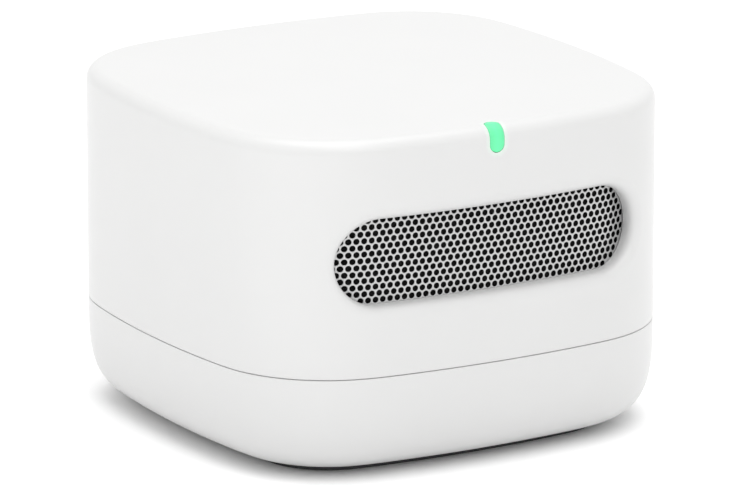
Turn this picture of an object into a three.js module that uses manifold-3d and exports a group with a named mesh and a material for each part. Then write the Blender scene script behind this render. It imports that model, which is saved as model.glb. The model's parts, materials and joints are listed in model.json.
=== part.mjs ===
// A desktop smart home hub of the air-monitoring kind, as an assembly of its separate pieces.
// Millimetres, +Z up. The origin is on the table, under the centre of the hub; the front,
// with the air inlet and the status light, faces -Y.

import * as THREE from 'three';
import { mergeVertices } from 'three/addons/utils/BufferGeometryUtils.js';
import Module from 'manifold-3d';

const wasm = await Module();
wasm.setup();

// ---------------------------------------------------------------- driving dimensions

const HALF = 32.5;            // half of the widest width and depth
const HEIGHT = 45;            // table to top
const SIDE_RADIUS = 135.5;    // plan radius of the bowed sides
const CORNER_RADIUS = 16.4;   // plan radius of the corners
const SIDE_STEPS = 4;         // facets along a side and round a corner
const CORNER_STEPS = 8;
const GAP = 0.3;              // clearance between neighbouring pieces

const WALL = 1.6;             // upper housing wall
const TOP_FILLET = 1.8;       // outer edge of the top
const CEILING = HEIGHT - WALL;
const SEAM = 14;              // height of the joint line between the two shells
const LIP = { inset: 1.9, thick: 0.8, top: SEAM + 1.6 };  // base cover's lip inside the housing

const BASE = {
  bottom: 0.5,                // underside of the base cover
  floor: 2.7,                 // its inner floor
  curveTop: 15.7,             // where the curve under the hub would meet a straight wall
  curveIn: 12.2,              // how far the curve runs in
  curvePower: 4,              // squareness of the curve
};
const FOOT = { inset: 7.1, top: 0.9, edge: 0.2 };

const WINDOW = { z: 28.85, halfWidth: 22.6, halfHeight: 6.1 };
const GRILLE = { inset: 1.9, thick: 0.8, overlap: 2 };
const FILTER = { inset: 3, thick: 1.2, overlap: 1.5 };
const LIGHT = { width: 2.1, low: 41.6, back: 2.3 };
const VENT = { z: 28.5, count: 11, pitch: 3.2, width: 1.5, height: 10 };

const BASE_SCREW = { x: 18.6, y: 18.6 };       // each of these is one of four places
const CHASSIS_SCREW = { x: 23.2, y: 20.8 };
const SCREW_HOLE = 1.3;                        // clearance round a 2 mm screw
const SMALL_HOLE = 1.2;                        // clearance round a 1.8 mm screw

const CHASSIS = { bottom: 17.6, top: 19.6, inset: 2.9, railTop: 22.2, postBottom: 9.8 };

const BOARD = { bottom: 5.2, top: 6.4 };       // main board
const ON_BOARD = BOARD.top + GAP;
const BOARD_SCREWS = [[22, 0], [-22, 0]];

const SENSOR_BOARD = { bottom: 38.2, top: 39.2 };
const SENSOR_BOARD_SCREWS = [[10, -12], [-10, -12]];
const LED = { y: -27.8, half: 0.8, top: 40.9 };

const PORT = { z: 8.1, width: 11.4, height: 6.6, face: 27.7, collar: 28.2 };
const SWITCH_FACE = 26.5;
const BUTTON = { x: -13, z: 8.5, radius: 2.4, flange: 3.2, face: 31.9 };

const SENSOR = { x: 20, front: -25, back: 13, bottom: 22.5, split: 33.3, top: 34.5, wall: 1.2 };
const SENSOR_FLOOR = SENSOR.bottom + SENSOR.wall + GAP;
const SENSOR_SCREWS = [[-16.5, 9.5], [16.5, -21.5]];
const FAN = { x: 9, y: 2.5, bottom: 26, top: 31.6, blades: 9, cup: 4.2, core: 3, shaft: 0.75 };

// ---------------------------------------------------------------- solids

// A closed geometry as a solid that can be joined and cut.
function solid(geometry) {
  const plain = geometry.clone();
  plain.deleteAttribute('normal');
  plain.deleteAttribute('uv');
  const merged = mergeVertices(plain, 1e-4);
  const index = merged.index.array;
  const corners = [];
  for (let i = 0; i < index.length; i += 3) {
    const [a, b, c] = [index[i], index[i + 1], index[i + 2]];
    if (a !== b && b !== c && c !== a) corners.push(a, b, c);
  }
  return new wasm.Manifold(new wasm.Mesh({
    numProp: 3,
    vertProperties: new Float32Array(merged.attributes.position.array),
    triVerts: new Uint32Array(corners),
  }));
}

const join = (first, ...others) => others.reduce((sum, next) => sum.add(next), first);
const cut = (first, ...tools) => tools.reduce((left, tool) => left.subtract(tool), first);

// The solid as a geometry again.
function geometryOf(manifold) {
  const { vertProperties, triVerts } = manifold.getMesh();
  const geometry = new THREE.BufferGeometry();
  geometry.setAttribute('position', new THREE.BufferAttribute(new Float32Array(vertProperties), 3));
  geometry.setIndex(new THREE.BufferAttribute(new Uint32Array(triVerts), 1));
  geometry.computeVertexNormals();
  return geometry;
}

// A box from its lowest to its highest corner.
function box([x0, y0, z0], [x1, y1, z1]) {
  const geometry = new THREE.BoxGeometry(x1 - x0, y1 - y0, z1 - z0);
  return solid(geometry.translate((x0 + x1) / 2, (y0 + y1) / 2, (z0 + z1) / 2));
}

// An upright cylinder.
function post(x, y, radius, z0, z1, sides = 16) {
  const geometry = new THREE.CylinderGeometry(radius, radius, z1 - z0, sides).rotateX(Math.PI / 2);
  return solid(geometry.translate(x, y, (z0 + z1) / 2));
}

// Upright cylinders at several places.
const posts = (places, ...size) => places.map(([x, y]) => post(x, y, ...size));

// A cylinder along Y.
function rod(x, z, radius, y0, y1, sides = 20) {
  const geometry = new THREE.CylinderGeometry(radius, radius, y1 - y0, sides);
  return solid(geometry.translate(x, (y0 + y1) / 2, z));
}

// An outline in X and Y, raised from z0 to z1.
function slab(shape, z0, z1, curveSegments = 5) {
  const options = { depth: z1 - z0, bevelEnabled: false, curveSegments };
  return solid(new THREE.ExtrudeGeometry(shape, options).translate(0, 0, z0));
}

// An outline in X and Z, extruded along Y.
function alongY(shape, y0, y1, curveSegments = 8) {
  const options = { depth: y1 - y0, bevelEnabled: false, curveSegments };
  return solid(new THREE.ExtrudeGeometry(shape, options).rotateX(Math.PI / 2).translate(0, y1, 0));
}

// An outline in Y and Z, extruded along X.
function alongX(shape, x0, x1, curveSegments = 5) {
  const options = { depth: x1 - x0, bevelEnabled: false, curveSegments };
  const geometry = new THREE.ExtrudeGeometry(shape, options);
  return solid(geometry.rotateX(Math.PI / 2).rotateZ(Math.PI / 2).translate(x0, 0, 0));
}

// A rectangle with rounded corners.
function roundedRectangle(halfWidth, halfHeight, radius, cx = 0, cy = 0) {
  const [dx, dy] = [halfWidth - radius, halfHeight - radius];
  const shape = new THREE.Shape();
  [[1, -1], [1, 1], [-1, 1], [-1, -1]].forEach(([sx, sy], i) => {
    const start = ((i - 1) * Math.PI) / 2;
    shape.absarc(cx + sx * dx, cy + sy * dy, radius, start, start + Math.PI / 2);
  });
  shape.closePath();
  return shape;
}

// A slot with round ends, lying or upright, whichever is its longer way.
function pill(halfWidth, halfHeight, cx, cy) {
  const radius = Math.min(halfWidth, halfHeight);
  const [dx, dy] = [halfWidth - radius, halfHeight - radius];
  const start = dx > 0 ? -Math.PI / 2 : 0;
  const shape = new THREE.Shape();
  shape.absarc(cx + dx, cy + dy, radius, start, start + Math.PI);
  shape.absarc(cx - dx, cy - dy, radius, start + Math.PI, start + 2 * Math.PI);
  shape.closePath();
  return shape;
}

// The four places at +-x and +-y.
const fourPlaces = ({ x, y }) => [[x, y], [-x, y], [-x, -y], [x, -y]];

// ---------------------------------------------------------------- the rounded-square plan

// The corner arcs' centre, and the half angle of a side arc, from their tangency.
const sideCentre = SIDE_RADIUS - HALF;
const cornerAt = (Math.sqrt(2 * (SIDE_RADIUS - CORNER_RADIUS) ** 2 - sideCentre ** 2) - sideCentre) / 2;
const sideAngle = Math.atan2(cornerAt, cornerAt + sideCentre);

// Stations round the plan: each has a point on the widest outline and its outward direction.
function planStations() {
  const sideOrigin = new THREE.Vector2(-sideCentre, 0);
  const cornerOrigin = new THREE.Vector2(cornerAt, cornerAt);
  const centre = new THREE.Vector2();
  const stations = [];
  for (let quarter = 0; quarter < 4; quarter += 1) {
    const turn = (quarter * Math.PI) / 2;
    const add = (origin, radius, angle) => {
      const out = new THREE.Vector2(Math.cos(angle), Math.sin(angle));
      const point = origin.clone().addScaledVector(out, radius);
      stations.push({ point: point.rotateAround(centre, turn), out: out.rotateAround(centre, turn) });
    };
    for (let i = 0; i < SIDE_STEPS; i += 1) {
      add(sideOrigin, SIDE_RADIUS, sideAngle * ((2 * i) / SIDE_STEPS - 1));
    }
    for (let i = 0; i < CORNER_STEPS; i += 1) {
      add(cornerOrigin, CORNER_RADIUS, sideAngle + (Math.PI / 2 - 2 * sideAngle) * (i / CORNER_STEPS));
    }
  }
  return stations;
}

const stations = planStations();
const moveIn = ({ point, out }, inset) => point.clone().addScaledVector(out, -inset);

// The plan's outline, moved in by an inset.
const planShape = (inset) => new THREE.Shape(stations.map((station) => moveIn(station, inset)));

// A body of the plan. Its profile goes up the outside in points [inset, height]; an inset of
// AXIS is the centre line. Each ring of a lathed profile takes the shape of the plan.
const AXIS = Infinity;

function loft(profile) {
  const rings = profile.map(([inset, z]) => new THREE.Vector2(inset === AXIS ? 0 : 1, z));
  const geometry = new THREE.LatheGeometry(rings, stations.length);
  const { position } = geometry.attributes;
  for (let s = 0; s <= stations.length; s += 1) {
    profile.forEach(([inset, z], p) => {
      const place = inset === AXIS ? { x: 0, y: 0 } : moveIn(stations[s % stations.length], inset);
      position.setXYZ(s * profile.length + p, place.x, place.y, z);
    });
  }
  return solid(geometry);
}

// A plain body of the plan between two heights.
const block = (inset, z0, z1) => loft([[AXIS, z0], [inset, z0], [inset, z1], [AXIS, z1]]);

// Profile points of a quarter-round edge, from a wall at an inset up to a flat top.
function topEdge(inset, top, radius, steps) {
  return Array.from({ length: steps + 1 }, (_, i) => {
    const angle = (i / steps) * (Math.PI / 2);
    return [inset + radius * (1 - Math.cos(angle)), top - radius * (1 - Math.sin(angle))];
  });
}

// Profile points of the curve under the hub, from the underside up to the wall.
function baseCurve(steps) {
  const power = 2 / BASE.curvePower;
  return Array.from({ length: steps }, (_, i) => {
    const angle = (i / steps) ** 1.5 * (Math.PI / 2);
    const inset = BASE.curveIn * (1 - Math.sin(angle) ** power);
    return [inset, BASE.curveTop - (BASE.curveTop - BASE.bottom) * Math.cos(angle) ** power];
  });
}

// A plate that follows the wall between two insets, within an outline in X and Z.
function wallPlate(shape, inset, thickness, y0, y1) {
  const skin = cut(block(inset, SEAM + 2, CEILING - 1), block(inset + thickness, SEAM, CEILING));
  return alongY(shape, y0, y1).intersect(skin);
}

// ---------------------------------------------------------------- materials

const finish = (color, roughness, metalness = 0, more = {}) =>
  new THREE.MeshStandardMaterial({ color, roughness, metalness, ...more });

const whitePlastic = () => finish(0xf0f0ee, 0.5);
const blackPlastic = () => finish(0x1c1c1e, 0.6);
const darkFoam = () => finish(0x141414, 0.95);
const rubber = () => finish(0x2a2a2c, 0.85);
const circuitGreen = () => finish(0x1d5c3a, 0.45);
const steel = () => finish(0xb9bbbd, 0.35, 0.9);
const brass = () => finish(0xb08d4a, 0.35, 0.9);
const chipBlack = () => finish(0x202124, 0.5);
const connectorCream = () => finish(0xe6dfc9, 0.55);
const cableWhite = () => finish(0xdadada, 0.5);
const glowingPlastic = () => finish(0xd9fbea, 0.25, 0, { emissive: 0x58f5b0 });

// ---------------------------------------------------------------- shells and foot

function upperHousing() {
  const outer = loft([
    [AXIS, SEAM + GAP / 2], [0, SEAM + GAP / 2], ...topEdge(0, HEIGHT, TOP_FILLET, 4), [AXIS, HEIGHT],
  ]);
  const hollow = loft([[AXIS, SEAM - 1], [WALL, SEAM - 1], ...topEdge(WALL, CEILING, 1.2, 2), [AXIS, CEILING]]);
  const bosses = [
    ...posts(fourPlaces(CHASSIS_SCREW), 2.3, CHASSIS.top + GAP, CEILING + 0.4),
    ...posts(SENSOR_BOARD_SCREWS, 2, SENSOR_BOARD.top + GAP, CEILING + 0.4),
  ];
  const screwHoles = [
    ...posts(fourPlaces(CHASSIS_SCREW), SCREW_HOLE, CHASSIS.top, CHASSIS.top + 6.2, 10),
    ...posts(SENSOR_BOARD_SCREWS, SMALL_HOLE, SENSOR_BOARD.top, SENSOR_BOARD.top + 3.6, 10),
  ];
  const opening = alongY(pill(WINDOW.halfWidth, WINDOW.halfHeight, 0, WINDOW.z), -HALF - 2, -HALF / 2);
  const slotHalf = LIGHT.width / 2 + GAP;
  const slotBack = -HALF + LIGHT.back + GAP;
  const lightSlot = box([-slotHalf, -HALF - 2, LIGHT.low - GAP], [slotHalf, slotBack, HEIGHT + 1]);
  const vents = Array.from({ length: VENT.count }, (_, i) => {
    const x = (i - (VENT.count - 1) / 2) * VENT.pitch;
    return alongY(pill(VENT.width / 2, VENT.height / 2, x, VENT.z), HALF - 8, HALF + 2, 4);
  });
  const shell = join(cut(outer, hollow), ...bosses);
  return cut(shell, ...screwHoles, opening, lightSlot, ...vents);
}

function baseCover() {
  const rim = SEAM - GAP / 2;
  const outer = loft([
    [AXIS, BASE.bottom], ...baseCurve(9), [0, rim],
    [LIP.inset, rim], [LIP.inset, LIP.top], [AXIS, LIP.top],
  ]);
  const lipInside = LIP.inset + LIP.thick;
  const hollow = loft([
    [AXIS, BASE.floor], [7.5, BASE.floor], [4.8, 3.4], [3.1, 5], [2.3, 8], [2, 11.8],
    [lipInside, 12.8], [lipInside, LIP.top + 1], [AXIS, LIP.top + 1],
  ]);
  const places = fourPlaces(BASE_SCREW);
  const collarMargin = 1;
  const collarHalf = PORT.width / 2 + collarMargin;
  const collarRise = PORT.height / 2 + collarMargin;
  const raised = [
    ...posts(places, 3, BASE.floor - 0.5, CHASSIS.postBottom - GAP),
    ...posts(BOARD_SCREWS, 2.2, BASE.floor - 0.5, BOARD.bottom - GAP),
    box([-collarHalf, PORT.collar, PORT.z - collarRise], [collarHalf, HALF - 1.7, PORT.z + collarRise]),
  ];
  const sunk = [
    slab(planShape(FOOT.inset - GAP), -1, FOOT.top + GAP),
    ...posts(places, 2.2, 0, 3.4),
    ...posts(places, SCREW_HOLE, 3, CHASSIS.postBottom, 10),
    ...posts(BOARD_SCREWS, SMALL_HOLE, 2.5, BOARD.bottom, 10),
    alongY(roundedRectangle(PORT.width / 2, PORT.height / 2, 1.6, 0, PORT.z), 27, HALF + 2, 3),
    rod(BUTTON.x, BUTTON.z, BUTTON.radius + GAP, 27, HALF + 2, 24),
  ];
  return cut(join(cut(outer, hollow), ...raised), ...sunk);
}

function rubberFoot() {
  const { inset, top, edge } = FOOT;
  return loft([[AXIS, 0], [inset + edge, 0], [inset, edge], [inset, top], [AXIS, top]]);
}

// ---------------------------------------------------------------- air inlet, outlet and status light

function inletPlate({ inset, thick, overlap }) {
  const outline = pill(WINDOW.halfWidth + overlap, WINDOW.halfHeight + overlap, 0, WINDOW.z);
  return wallPlate(outline, inset, thick, -HALF - 1, -HALF / 2);
}

// The foam frame between the filter and the front of the particle sensor.
function inletGasket() {
  const ring = cut(
    alongY(pill(19.7, 5.9, 0, WINDOW.z), -HALF, SENSOR.front - GAP),
    alongY(pill(18, 4.3, 0, WINDOW.z), -HALF - 1, SENSOR.front),
  );
  return ring.intersect(block(FILTER.inset + FILTER.thick + GAP, SEAM, CEILING));
}

function exhaustScreen() {
  return wallPlate(roundedRectangle(18.5, 6.5, 1, 0, VENT.z), WALL + GAP, 1, HALF / 2, HALF + 1);
}

// The light wraps over the front top edge, and its foot reaches back over the LED.
function statusLightPipe() {
  const [front, back] = [-HALF, -HALF + LIGHT.back];
  const [footTop, footBottom] = [CEILING - GAP, LED.top + GAP];
  const footFront = front + WALL + GAP;
  const footBack = LED.y + LED.half + GAP;
  const outline = new THREE.Shape();
  outline.moveTo(front, LIGHT.low);
  outline.lineTo(footFront, LIGHT.low);
  outline.lineTo(footFront, footBottom);
  outline.lineTo(footBack, footBottom);
  outline.lineTo(footBack, footTop);
  outline.lineTo(back, footTop);
  outline.lineTo(back, HEIGHT);
  outline.absarc(front + TOP_FILLET, HEIGHT - TOP_FILLET, TOP_FILLET, Math.PI / 2, Math.PI);
  outline.closePath();
  return alongX(outline, -LIGHT.width / 2, LIGHT.width / 2, 4);
}

// ---------------------------------------------------------------- screws

// A pan-head screw with a cross drive. It is seated under its head at a height, and its shank
// points up from there, or down.
function screw([x, y], seat, points, { head, headHeight, shank, length }) {
  const profile = [
    [0, -headHeight], [head * 0.8, -headHeight], [head, -headHeight / 2], [head, 0],
    [shank, 0], [shank, length - 1], [0, length],
  ].map(([radius, height]) => new THREE.Vector2(radius, height));
  const drive = head * 0.55;
  const slots = [[drive, 0.2], [0.2, drive]].map(([dx, dy]) => new THREE.BoxGeometry(2 * dx, headHeight, 2 * dy)
    .translate(0, -headHeight, 0));
  const place = (geometry) => solid(
    geometry.rotateX((points === 'up' ? 1 : -1) * (Math.PI / 2)).translate(x, y, seat),
  );
  return cut(place(new THREE.LatheGeometry(profile, 10)), ...slots.map(place));
}

const BASE_SCREW_SIZE = { head: 1.9, headHeight: 1.5, shank: 1, length: 10.9 };
const CHASSIS_SCREW_SIZE = { head: 1.9, headHeight: 1.3, shank: 1, length: 7.5 };
const SENSOR_BOARD_SCREW_SIZE = { head: 1.7, headHeight: 1.2, shank: 0.9, length: 4.4 };
const BOARD_SCREW_SIZE = { head: 1.7, headHeight: 1.2, shank: 0.9, length: 3.8 };
const SENSOR_SCREW_SIZE = { head: 1.6, headHeight: 0.9, shank: 0.9, length: 6.7 };

// ---------------------------------------------------------------- chassis and boards

function innerChassis() {
  const { bottom, top, inset, railTop, postBottom } = CHASSIS;
  const stopTop = SENSOR.bottom + 3.5;
  const sideStop = SENSOR.x + GAP;
  const raised = [
    ...posts(fourPlaces(BASE_SCREW), 2.8, postBottom, bottom + 0.5),
    ...[-17, 17].map((x) => box([x - 1, -22, top - 0.5], [x + 1, 10, railTop])),
    box([-sideStop - 1.2, -8, top - 0.5], [-sideStop, 0, stopTop]),
    box([sideStop, -8, top - 0.5], [sideStop + 1.2, 0, stopTop]),
    box([-3, SENSOR.back + GAP, top - 0.5], [3, SENSOR.back + GAP + 1.2, stopTop]),
  ];
  const sunk = [
    ...posts(fourPlaces(BASE_SCREW), SCREW_HOLE, postBottom - 1, 15.2, 10),
    ...posts(fourPlaces(CHASSIS_SCREW), SCREW_HOLE, bottom - 1, top + 1, 10),
    slab(roundedRectangle(11, 11, 3, 0, -5), bottom - 1, top + 1),
    slab(roundedRectangle(5.5, 1.6, 1, 9, 24.5), bottom - 1, top + 1, 3),
    slab(roundedRectangle(4.5, 1.8, 1, -11, 15.7), bottom - 1, top + 1, 3),
  ];
  return cut(join(slab(planShape(inset), bottom, top), ...raised), ...sunk);
}

function mainBoard() {
  const { bottom, top } = BOARD;
  return cut(
    slab(roundedRectangle(25, 25.5, 8, 0, 1.5), bottom, top),
    ...posts(fourPlaces(BASE_SCREW), 3.4, bottom - 1, top + 1),
    ...posts(BOARD_SCREWS, SMALL_HOLE, bottom - 1, top + 1, 10),
  );
}

function sensorBoard() {
  const { bottom, top } = SENSOR_BOARD;
  return cut(
    slab(roundedRectangle(13, 27.5, 2, 0, -1.5), bottom, top, 3),
    ...posts(SENSOR_BOARD_SCREWS, SMALL_HOLE, bottom - 1, top + 1, 10),
  );
}

// A part soldered on the main board, by its middle, half sizes and height.
function onBoard(x, y, halfX, halfY, height) {
  return box([x - halfX, y - halfY, ON_BOARD], [x + halfX, y + halfY, ON_BOARD + height]);
}

// A part soldered on the top of the sensor board, or hanging under it.
function onSensorBoard(x, y, half, height) {
  const z = SENSOR_BOARD.top + GAP;
  return box([x - half, y - half, z], [x + half, y + half, z + height]);
}

const UNDER_SENSOR_BOARD = SENSOR_BOARD.bottom - GAP;

function usbSocket() {
  const { face, z } = PORT;
  const shell = alongY(roundedRectangle(3.8, 1.4, 0.6, 0, z), face - 5.6, face, 3);
  const mouth = box([-3.3, face - 4.2, z - 0.9], [3.3, face + 1, z + 0.9]);
  const tongue = box([-2, face - 4.5, z - 0.1], [2, face - 0.8, z + 0.5]);
  return join(cut(shell, mouth), tongue);
}

function switchBody() {
  const body = box([BUTTON.x - 3, SWITCH_FACE - 3.4, ON_BOARD], [BUTTON.x + 3, SWITCH_FACE, ON_BOARD + 3.6]);
  return cut(body, rod(BUTTON.x, BUTTON.z, 1.2, SWITCH_FACE - 1.8, SWITCH_FACE + 1, 16));
}

const PLUNGER_END = SWITCH_FACE + 1.2;

const switchPlunger = () => rod(BUTTON.x, BUTTON.z, 0.9, SWITCH_FACE - 1.2, PLUNGER_END, 16);

function buttonCap() {
  const flangeFace = PLUNGER_END + GAP;
  return join(
    rod(BUTTON.x, BUTTON.z, BUTTON.flange, flangeFace, flangeFace + 0.6, 24),
    rod(BUTTON.x, BUTTON.z, BUTTON.radius, flangeFace + 0.3, BUTTON.face, 24),
  );
}

// A flat cable through corners [y, z], between two sides in X.
function flatCable(x0, x1, thickness, corners) {
  const t = thickness / 2;
  const runs = corners.slice(1).map(([y1, z1], i) => {
    const [y0, z0] = corners[i];
    return box([x0, Math.min(y0, y1) - t, Math.min(z0, z1) - t], [x1, Math.max(y0, y1) + t, Math.max(z0, z1) + t]);
  });
  return join(...runs);
}

// ---------------------------------------------------------------- particle sensor

const sensorMiddle = (SENSOR.front + SENSOR.back) / 2;
const sensorDepth = (SENSOR.back - SENSOR.front) / 2;

function sensorLowerCase() {
  const { x, front, back, bottom, split, wall } = SENSOR;
  const rim = split - GAP;
  const raised = [
    ...posts(SENSOR_SCREWS, 2.2, bottom + 0.5, rim),
    box([-1.2, front + 0.5, bottom + 0.5], [0, -7, rim - 0.5]),
  ];
  const sunk = [
    ...posts(SENSOR_SCREWS, SMALL_HOLE, bottom + 4, rim + 1, 10),
    box([-15, front - 1, 25.5], [-3, front + wall + 0.2, 31.5]),
    box([4, back - wall - 0.2, 25.5], [14, back + 1, 31.5]),
  ];
  const tray = cut(
    slab(roundedRectangle(x, sensorDepth, 1.5, 0, sensorMiddle), bottom, rim, 3),
    slab(roundedRectangle(x - wall, sensorDepth - wall, 0.6, 0, sensorMiddle), bottom + wall, rim + 1, 3),
  );
  return cut(join(tray, ...raised), ...sunk);
}

function sensorUpperCase() {
  const { x, split, top } = SENSOR;
  return cut(
    slab(roundedRectangle(x, sensorDepth, 1.5, 0, sensorMiddle), split, top, 3),
    ...posts(SENSOR_SCREWS, SMALL_HOLE, split - 1, top + 1, 10),
    ...posts(SENSOR_SCREWS, 1.9, top - 0.6, top + 1),
  );
}

function laserModule() {
  return join(rod(-9, 29, 2.6, -5.5, 1), rod(-9, 29, 1.6, -7, -5.3));
}

// The fixed bearing that the fan turns on.
function fanBearing() {
  return cut(
    join(
      post(FAN.x, FAN.y, 6, SENSOR_FLOOR, SENSOR_FLOOR + 0.8, 24),
      post(FAN.x, FAN.y, FAN.core, SENSOR_FLOOR + 0.5, FAN.top - 1.6, 20),
    ),
    post(FAN.x, FAN.y, FAN.shaft + GAP, SENSOR_FLOOR + 1, FAN.top, 12),
  );
}

// A blower rotor: a cup over the bearing, with curved blades round it.
function fanRotor() {
  const cup = cut(
    post(FAN.x, FAN.y, FAN.cup, FAN.bottom, FAN.top, 24),
    post(FAN.x, FAN.y, FAN.core + 0.4, FAN.bottom - 1, FAN.top - 0.9, 24),
    post(FAN.x, FAN.y, FAN.shaft + GAP, FAN.bottom, FAN.top + 1, 12),
  );
  const blade = new THREE.Shape();
  blade.moveTo(3.8, -0.4);
  blade.quadraticCurveTo(6.4, -0.2, 7.5, -2.4);
  blade.lineTo(7.8, -1.7);
  blade.quadraticCurveTo(6.6, 0.5, 3.8, 0.4);
  blade.closePath();
  const options = { depth: FAN.top - FAN.bottom - 0.4, bevelEnabled: false, curveSegments: 4 };
  const blades = Array.from({ length: FAN.blades }, (_, i) => {
    const geometry = new THREE.ExtrudeGeometry(blade, options).rotateZ((i / FAN.blades) * Math.PI * 2);
    return solid(geometry.translate(FAN.x, FAN.y, FAN.bottom + 0.4));
  });
  return join(cup, ...blades);
}

// ---------------------------------------------------------------- the hub

const hub = new THREE.Group();

// Adds one named piece.
function piece(name, manifold, material) {
  const mesh = new THREE.Mesh(geometryOf(manifold), material);
  mesh.name = name;
  hub.add(mesh);
}

// Adds the same screw at several places, named by number.
function screws(name, places, seat, points, size) {
  places.forEach((place, i) => piece(`${name}_${i + 1}`, screw(place, seat, points, size), steel()));
}

piece('upper_housing', upperHousing(), whitePlastic());
piece('base_cover', baseCover(), whitePlastic());
piece('rubber_foot', rubberFoot(), rubber());
piece('front_grille', inletPlate(GRILLE), whitePlastic());
piece('inlet_filter', inletPlate(FILTER), darkFoam());
piece('inlet_gasket', inletGasket(), darkFoam());
piece('exhaust_screen', exhaustScreen(), darkFoam());
piece('status_light_pipe', statusLightPipe(), glowingPlastic());
piece('inner_chassis', innerChassis(), blackPlastic());

piece('main_board', mainBoard(), circuitGreen());
piece('usb_socket', usbSocket(), steel());
piece('switch_body', switchBody(), chipBlack());
piece('switch_plunger', switchPlunger(), blackPlastic());
piece('button_cap', buttonCap(), whitePlastic());
piece('wifi_shield_can', onBoard(-7, -5, 7, 7, 2.2), steel());
piece('wifi_antenna', onBoard(-8, -20, 5, 1.5, 1.2), brass());
piece('main_processor', onBoard(9, -5, 5.5, 5.5, 1.2), chipBlack());
piece('power_inductor', onBoard(1, 9, 2.5, 2.5, 3), chipBlack());
piece('power_capacitor', post(10, 10, 2.6, ON_BOARD, ON_BOARD + 5.5), steel());
piece('ribbon_connector_lower', onBoard(9, 20, 4.5, 2, 2.2), connectorCream());
piece('sensor_cable_connector', onBoard(-11, 19, 3.5, 2, 2.4), connectorCream());

piece('sensor_board', sensorBoard(), circuitGreen());
const [ledLow, ledHigh] = [LED.y - LED.half, LED.y + LED.half];
const ledBottom = SENSOR_BOARD.top + GAP;
piece('status_led', box([-LED.half, ledLow, ledBottom], [LED.half, ledHigh, LED.top]), connectorCream());
piece('voc_sensor', onSensorBoard(6, -20, 1.5, 1), chipBlack());
piece('humidity_sensor', onSensorBoard(-6, -20, 1.25, 0.9), chipBlack());
piece('co_sensor', post(-6, 20, 5, 31.5, UNDER_SENSOR_BOARD, 24), steel());
const upperConnector = [[4.5, 18, 35.7], [12.5, 22, UNDER_SENSOR_BOARD]];
piece('ribbon_connector_upper', box(...upperConnector), connectorCream());
piece('sensor_ribbon', flatCable(5, 12, 0.4, [[22.5, 36.8], [24.7, 36.8], [24.7, 7.8], [22.5, 7.8]]), cableWhite());
piece('sensor_cable', flatCable(-14, -8, 0.8, [[13.7, 28], [15.6, 28], [15.6, 7.8], [16.3, 7.8]]), cableWhite());

piece('sensor_lower_case', sensorLowerCase(), blackPlastic());
piece('sensor_upper_case', sensorUpperCase(), blackPlastic());
piece('sensor_circuit', box([-17.5, -6, SENSOR_FLOOR], [-2, 6, SENSOR_FLOOR + 1]), circuitGreen());
piece('laser_module', laserModule(), brass());
piece('photodiode', box([-11, -14, SENSOR_FLOOR], [-7, -11, SENSOR_FLOOR + 1.2]), chipBlack());
piece('fan_bearing', fanBearing(), brass());
piece('fan_rotor', fanRotor(), blackPlastic());
piece('fan_shaft', post(FAN.x, FAN.y, FAN.shaft, SENSOR_FLOOR + 1.3, FAN.top, 12), steel());

screws('base_screw', fourPlaces(BASE_SCREW), 3.1, 'up', BASE_SCREW_SIZE);
screws('chassis_screw', fourPlaces(CHASSIS_SCREW), CHASSIS.bottom - GAP, 'up', CHASSIS_SCREW_SIZE);
screws('sensor_board_screw', SENSOR_BOARD_SCREWS, UNDER_SENSOR_BOARD, 'up', SENSOR_BOARD_SCREW_SIZE);
screws('main_board_screw', BOARD_SCREWS, ON_BOARD, 'down', BOARD_SCREW_SIZE);
screws('sensor_case_screw', SENSOR_SCREWS, SENSOR.top - GAP, 'down', SENSOR_SCREW_SIZE);

export default hub;
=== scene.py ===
import json
import math

import bpy
import numpy as np
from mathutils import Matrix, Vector

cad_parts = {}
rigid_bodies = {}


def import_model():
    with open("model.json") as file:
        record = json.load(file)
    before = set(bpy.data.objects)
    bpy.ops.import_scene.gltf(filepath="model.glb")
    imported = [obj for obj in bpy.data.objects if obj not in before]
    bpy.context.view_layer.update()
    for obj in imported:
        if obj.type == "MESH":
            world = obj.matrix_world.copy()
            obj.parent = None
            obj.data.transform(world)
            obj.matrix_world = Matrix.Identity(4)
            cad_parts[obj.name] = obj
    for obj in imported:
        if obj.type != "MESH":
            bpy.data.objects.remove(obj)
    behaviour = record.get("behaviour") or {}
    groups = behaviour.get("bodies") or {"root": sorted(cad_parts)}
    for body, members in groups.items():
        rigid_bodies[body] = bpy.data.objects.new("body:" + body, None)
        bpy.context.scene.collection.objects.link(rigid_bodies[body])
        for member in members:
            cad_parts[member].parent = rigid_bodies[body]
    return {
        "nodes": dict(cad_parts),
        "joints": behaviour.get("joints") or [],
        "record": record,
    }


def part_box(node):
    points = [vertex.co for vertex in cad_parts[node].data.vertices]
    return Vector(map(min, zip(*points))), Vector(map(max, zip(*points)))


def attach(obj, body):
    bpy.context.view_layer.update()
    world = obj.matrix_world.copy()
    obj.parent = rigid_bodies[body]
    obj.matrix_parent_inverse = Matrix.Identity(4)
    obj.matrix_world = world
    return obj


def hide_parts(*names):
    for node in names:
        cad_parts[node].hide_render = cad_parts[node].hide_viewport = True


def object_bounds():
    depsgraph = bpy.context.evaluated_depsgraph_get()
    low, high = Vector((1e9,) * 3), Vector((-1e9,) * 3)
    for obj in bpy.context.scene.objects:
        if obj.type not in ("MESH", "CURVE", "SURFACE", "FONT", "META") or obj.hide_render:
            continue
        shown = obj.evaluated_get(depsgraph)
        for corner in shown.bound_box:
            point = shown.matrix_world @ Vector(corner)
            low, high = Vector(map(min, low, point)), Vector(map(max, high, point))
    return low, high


# A white desktop smart home hub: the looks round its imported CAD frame.
# Shapes are worked out in millimetres and turned to metres as each mesh is made. The camera,
# the lights and the floor are placed in metres.
# +Z is up and the front, with the air inlet and the status light, faces -Y.

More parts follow.
